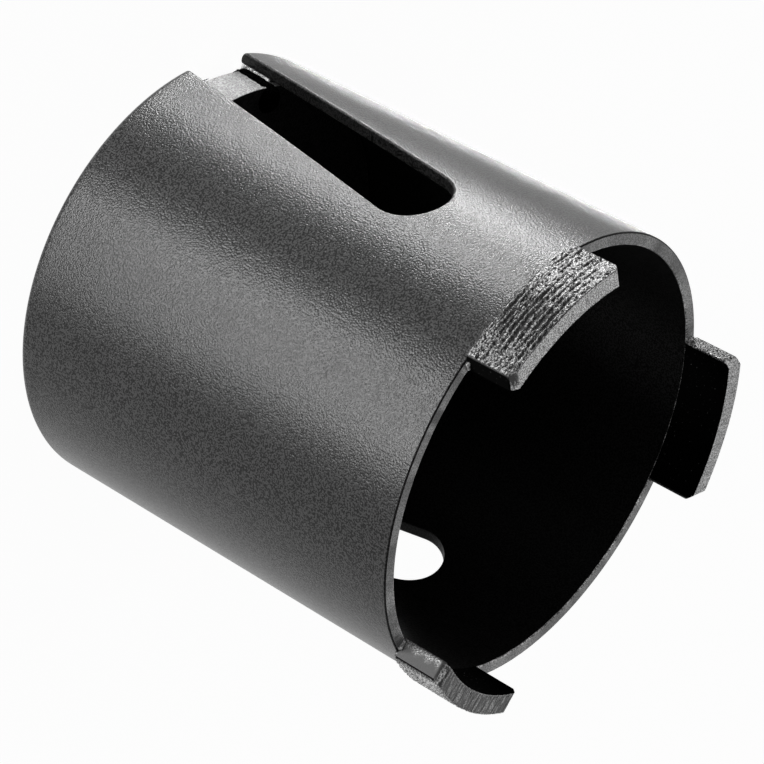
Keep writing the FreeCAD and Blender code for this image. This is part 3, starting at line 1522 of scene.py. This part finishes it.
@dataclass
class SegmentWelds:
    """The beads at the foot of one segment: one at each end, and one along its outer face."""

    barrel: Barrel
    segment: Segment
    end_size: float = 0.3 * MM
    blob_size: float = 0.6 * MM
    end_gap: float = 0.1 * MM
    outside_inset: float = 0.3 * MM
    bore_inset: float = 0.1 * MM
    seam_size: float = 0.5 * MM
    seam_end: float = 1.0 * MM
    seam_ripple_length: float = 0.9 * MM
    lift: float = 0.05 * MM
    step: float = 0.12 * MM

    def end(self, hand: int) -> WeldBead:
        """The bead across the rim at one end, with a blob at the barrel's outside.

        Args:
            hand: +1 for the end at larger angles, -1 for the other.

        Returns:
            The bead.
        """
        outside, bore = self.barrel.radius - self.outside_inset, self.barrel.bore + self.bore_inset
        radius = np.linspace(outside, bore, round((outside - bore) / self.step))
        share = np.linspace(0, 1, len(radius))
        size = self.end_size + (self.blob_size - self.end_size) * (1 - share) ** 3
        side = hand * (self.segment.width / 2 + self.end_gap)
        angles = self.segment.angle + np.arcsin(side / radius)
        path = polar(radius, angles, self.barrel.length + self.lift)
        return WeldBead("end_weld", path, size, seed=self.segment.number * 3.0 + hand, ripple=0.3)

    def seam(self) -> WeldBead:
        """The bead along the outer face's foot, from the end at smaller angles to past the middle.

        Returns:
            The bead.
        """
        side = np.arange(-self.segment.width / 2, self.seam_end, self.step)
        angles = self.segment.angle + np.arcsin(side / self.barrel.radius)
        path = polar(self.barrel.radius, angles, self.barrel.length - self.lift)
        return WeldBead("seam_weld", path, self.seam_size, seed=self.segment.number * 5.0, ripple=0.35,
                        ripple_length=self.seam_ripple_length)

    def dress(self, finishes: Finishes) -> None:
        """Builds the beads.

        Args:
            finishes: The part's finishes.
        """
        beads = {"far": self.end(1), "near": self.end(-1), "outer": self.seam()}
        for side, bead in beads.items():
            bead.name = f"segment_{self.segment.number}_{side}_{bead.name}"
            metal = finishes.weld if side == "outer" else finishes.bead
            ride_root(bead.build(metal), Slot.SEGMENT)


@dataclass
class SegmentRing:
    """The three segments on the barrel's mouth, with their welds."""

    barrel: Barrel
    first_angle: float = 78.7
    spacing: float = 120.0
    inside_clearance: float = 0.28 * MM
    outside_clearance: float = 0.98 * MM

    def dress(self, finishes: Finishes) -> None:
        """Builds each segment and its beads.

        Args:
            finishes: The part's finishes.
        """
        inner = self.barrel.bore - self.inside_clearance
        outer = self.barrel.radius + self.outside_clearance
        for number, state in enumerate(SEGMENT_STATES, start=1):
            angle = math.radians(self.first_angle + (number - 1) * self.spacing)
            segment = Segment(number, state, angle, self.barrel.length, inner, outer)
            segment.dress(finishes)
            SegmentWelds(self.barrel, segment).dress(finishes)


@dataclass(frozen=True)
class SoftBox:
    """A studio lamp that points at the part's middle."""

    name: str
    azimuth: float
    elevation: float
    power: float
    distance: float = 0.6
    width: float = 0.08
    height: float = 0.16

    def place(self, aim: Vector) -> None:
        """Sets the lamp up.

        Args:
            aim: The point that it lights.
        """
        data = bpy.data.lights.new(self.name, "AREA")
        data.shape = "RECTANGLE"
        data.size, data.size_y = self.width, self.height
        data.energy = self.power
        data.cycles.use_multiple_importance_sampling = False
        lamp = bpy.data.objects.new(self.name, data)
        turn, rise = math.radians(self.azimuth), math.radians(self.elevation)
        out = Vector((math.cos(turn) * math.cos(rise), math.sin(turn) * math.cos(rise), math.sin(rise)))
        lamp.location = aim + out * self.distance
        lamp.rotation_mode = "QUATERNION"
        lamp.rotation_quaternion = out.to_track_quat("Z", "Y")
        lamp.visible_camera = False
        bpy.context.scene.collection.objects.link(lamp)


def seen_directly(tree: bpy.types.NodeTree) -> bpy.types.NodeSocket:
    """1 for camera, glossy and transmission rays, 0 for the rest.

    Args:
        tree: The material's or the world's node tree.

    Returns:
        The socket that gives it.
    """
    path = tree.nodes.new("ShaderNodeLightPath")
    total = path.outputs["Is Camera Ray"]
    for name in ("Is Glossy Ray", "Is Transmission Ray"):
        pick = tree.nodes.new("ShaderNodeMath")
        pick.operation = "MAXIMUM"
        tree.links.new(total, pick.inputs[0])
        tree.links.new(path.outputs[name], pick.inputs[1])
        total = pick.outputs["Value"]
    return total


@dataclass(frozen=True)
class PaleFloor:
    """The floor's finish: its own glow where it is seen, and a soft diffuse layer for the shadow."""

    matt: float = 0.25
    glow: float = 0.95

    def make(self) -> bpy.types.Material:
        """Builds the finish's material.

        Returns:
            The material.
        """
        material = bpy.data.materials.new("pale_floor")
        material.use_nodes = True
        tree = material.node_tree
        tree.nodes.remove(tree.nodes["Principled BSDF"])
        matt = tree.nodes.new("ShaderNodeBsdfDiffuse")
        matt.inputs["Color"].default_value = (self.matt, self.matt, self.matt, 1)
        pick = tree.nodes.new("ShaderNodeMixShader")
        tree.links.new(seen_directly(tree), pick.inputs["Fac"])
        for place, strength in ((1, 0.0), (2, self.glow)):
            glow = tree.nodes.new("ShaderNodeEmission")
            glow.inputs["Strength"].default_value = strength
            tree.links.new(glow.outputs["Emission"], pick.inputs[place])
        add = tree.nodes.new("ShaderNodeAddShader")
        tree.links.new(matt.outputs["BSDF"], add.inputs[0])
        tree.links.new(pick.outputs["Shader"], add.inputs[1])
        tree.links.new(add.outputs["Shader"], tree.nodes["Material Output"].inputs["Surface"])
        return material


@dataclass
class Studio:
    """The camera, floor, backdrop and lamps."""

    lens: float = 137.83
    sensor: float = 36.0
    nearest: float = 0.01
    furthest: float = 20.0
    camera_place: Vector = field(default_factory=lambda: Vector((-228.04, -266.12, 244.63)) * MM)
    camera_aim: Vector = field(default_factory=lambda: Vector((0.92, -0.80, 38.51)) * MM)
    camera_roll: float = math.radians(118.553)
    floor_reach: float = 4.0
    floor_drop: float = 0.05 * MM
    room_light: float = 0.12

    def set_camera(self) -> None:
        """Makes the camera at the photograph's angle."""
        data = bpy.data.cameras.new("camera")
        data.lens, data.sensor_width = self.lens, self.sensor
        data.clip_start, data.clip_end = self.nearest, self.furthest
        camera = bpy.data.objects.new("camera", data)
        back = (self.camera_place - self.camera_aim).normalized()
        upright = Matrix.Rotation(-self.camera_roll, 3, -back) @ back.to_track_quat("Z", "Y").to_matrix()
        camera.matrix_world = Matrix.Translation(self.camera_place) @ upright.to_4x4()
        bpy.context.scene.collection.objects.link(camera)
        bpy.context.scene.camera = camera

    def lay_floor(self) -> None:
        """Makes the pale floor, which keeps the part's shadow and lets the low lamps through."""
        half = self.floor_reach
        mesh = bpy.data.meshes.new("floor")
        mesh.from_pydata([(-half, -half, 0), (half, -half, 0), (half, half, 0), (-half, half, 0)],
                         [], [(0, 1, 2, 3)])
        floor = bpy.data.objects.new("floor", mesh)
        floor.location.z = -self.floor_drop
        floor.visible_shadow = False
        bpy.context.scene.collection.objects.link(floor)
        floor.data.materials.append(PaleFloor().make())

    def set_world(self) -> None:
        """Makes the backdrop white to the camera and in reflections, with a low room light."""
        world = bpy.data.worlds.new("room")
        world.use_nodes = True
        tree = world.node_tree
        backdrop = tree.nodes["Background"]
        backdrop.inputs["Color"].default_value = WHITE
        room = tree.nodes.new("ShaderNodeBackground")
        room.inputs["Color"].default_value = WHITE
        room.inputs["Strength"].default_value = self.room_light
        mix = tree.nodes.new("ShaderNodeMixShader")
        tree.links.new(seen_directly(tree), mix.inputs["Fac"])
        tree.links.new(room.outputs["Background"], mix.inputs[1])
        tree.links.new(backdrop.outputs["Background"], mix.inputs[2])
        tree.links.new(mix.outputs["Shader"], tree.nodes["World Output"].inputs["Surface"])
        bpy.context.scene.world = world

    def lamps(self) -> list[SoftBox]:
        """The soft boxes, by the band that each one makes on the barrel.

        Returns:
            The lamps, in order round the part.
        """
        return [
            SoftBox("edge_box", 72, -30, 0.15),
            SoftBox("shoulder_low_box", 126, -30, 0.32),
            SoftBox("shoulder_box", 135, -30, 2.06),
            SoftBox("shoulder_high_box", 162, -30, 2.28),
            SoftBox("front_low_box", 225, -30, 1.56),
            SoftBox("front_box", 243, -30, 0.92),
            SoftBox("front_high_box", 252, -14, 1.69),
            SoftBox("side_box", 261, -30, 0.55),
        ]

    def build(self) -> None:
        """Sets the whole stage up."""
        self.set_camera()
        self.lay_floor()
        self.set_world()
        aim = Vector((0, 0, self.camera_aim.z))
        for box in self.lamps():
            box.place(aim)
        bpy.context.scene.view_settings.view_transform = "Standard"


def corners(box: tuple[Vector, Vector]) -> list[list[float]]:
    """A box's two corners as plain lists."""
    return [list(corner) for corner in box]


def main() -> None:
    """Builds the part and its stage, and reports each piece."""
    logging.basicConfig(level=logging.INFO, format="%(name)s %(message)s")
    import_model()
    low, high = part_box("barrel")
    finishes = Finishes()
    barrel = Barrel(radius=(high.x - low.x) / 2, length=high.z)
    barrel.dress(finishes)
    plate = BasePlate(barrel.bore)
    plate.dress(finishes)
    PlateWelds(barrel, plate).dress(finishes)
    SegmentRing(barrel).dress(finishes)
    Studio().build()
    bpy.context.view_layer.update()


if __name__ == "__main__":
    main()
